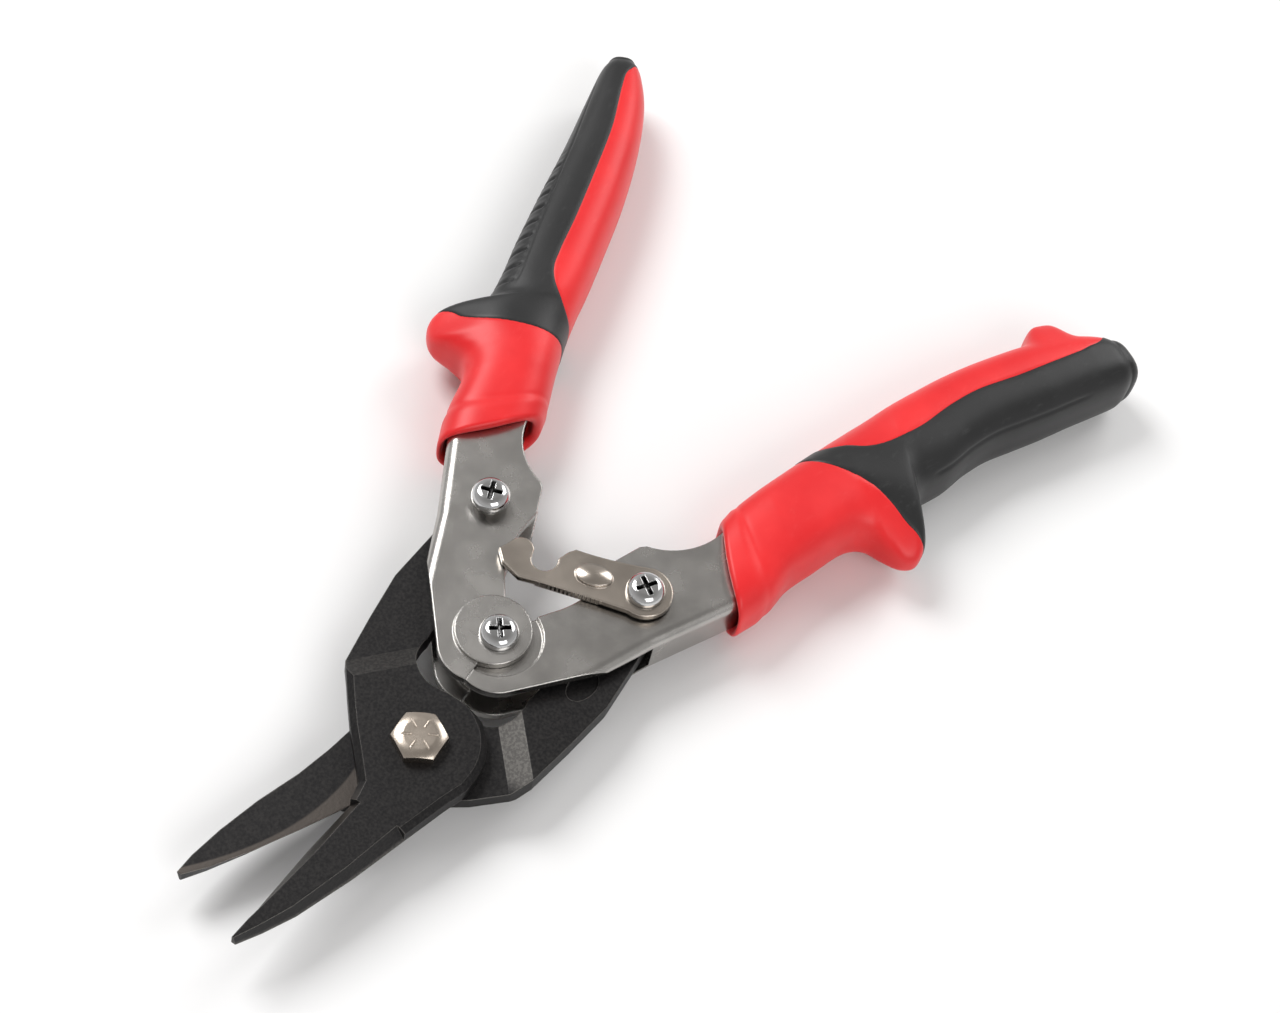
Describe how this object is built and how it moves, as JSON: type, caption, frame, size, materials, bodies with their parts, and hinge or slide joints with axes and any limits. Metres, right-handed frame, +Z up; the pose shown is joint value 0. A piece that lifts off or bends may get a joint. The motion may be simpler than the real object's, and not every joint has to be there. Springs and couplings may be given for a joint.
{
  "type": "aviation snips",
  "caption": "Compound-action sheet-metal snips with two offset jaws, a toggle linkage, a swinging latch and two-colour moulded grips, lying open.",
  "frame": {"origin": "on the blade pivot's axis at the plane the tool rests on, the foot of the pivot nut", "axes": "+Z up along the pivot axes, +Y from the blades towards the grips, +X towards the handle that carries the latch"},
  "size_m": [0.1633, 0.2581, 0.0231],
  "materials": {
    "jaw": "black oxide on forged steel, ground edges",
    "bolt": "nickel plated",
    "washer": "zinc plated",
    "sheet": "satin nickel plate on pressed steel",
    "chrome": "bright chrome",
    "sleeve": "turned, zinc plated",
    "latch": "warm satin nickel",
    "spring": "drawn spring wire",
    "red": "moulded, satin",
    "black": "soft overmould, matt"
  },
  "bodies": {
    "left_handle": {"left_handle": "sheet", "left_grip_core": "red", "left_grip_cover": "black", "handle_pivot_sleeve": "sleeve", "handle_pivot_screw": "chrome", "left_link_sleeve": "sleeve", "left_link_screw": "chrome", "left_tail_washers": "washer", "return_spring": "spring"},
    "right_handle": {"right_handle": "sheet", "right_grip_core": "red", "right_grip_cover": "black", "right_link_sleeve": "sleeve", "right_link_screw": "chrome", "right_tail_washers": "washer", "latch_washer": "washer"},
    "upper_jaw": {"upper_jaw": "jaw", "pivot_bolt": "bolt", "pivot_nut": "bolt", "pivot_washer": "washer"},
    "lower_jaw": {"lower_jaw": "jaw"},
    "latch": {"latch_lever": "latch"}
  },
  "joints": [
    {"name": "handle_pivot", "type": "hinge", "parent": "left_handle", "child": "right_handle", "pos_m": [0, 0.03128, 0.011], "axis": [0, 0, 1], "range_deg": [0, 34], "stiffness_Nm_per_rad": 0.4, "springref_deg": -34.38, "deforming": ["return_spring"]},
    {"name": "left_jaw_pivot", "type": "hinge", "parent": "left_handle", "child": "upper_jaw", "pos_m": [-0.0213, 0.05956, 0.011], "axis": [0, 0, 1], "range_deg": [0, 8.36]},
    {"name": "right_jaw_pivot", "type": "hinge", "parent": "right_handle", "child": "lower_jaw", "pos_m": [0.0213, 0.05956, 0.011], "axis": [0, 0, 1], "range_deg": [-8.36, 0]},
    {"name": "latch_pivot", "type": "hinge", "parent": "right_handle", "child": "latch", "pos_m": [0.0213, 0.05956, 0.011], "axis": [0, 0, -1], "range_deg": [0, 33.5]}
  ],
  "couplings": [
    {"joint": "left_jaw_pivot", "follows": "handle_pivot", "ratio": 0.24563},
    {"joint": "right_jaw_pivot", "follows": "handle_pivot", "ratio": -0.24563}
  ]
}
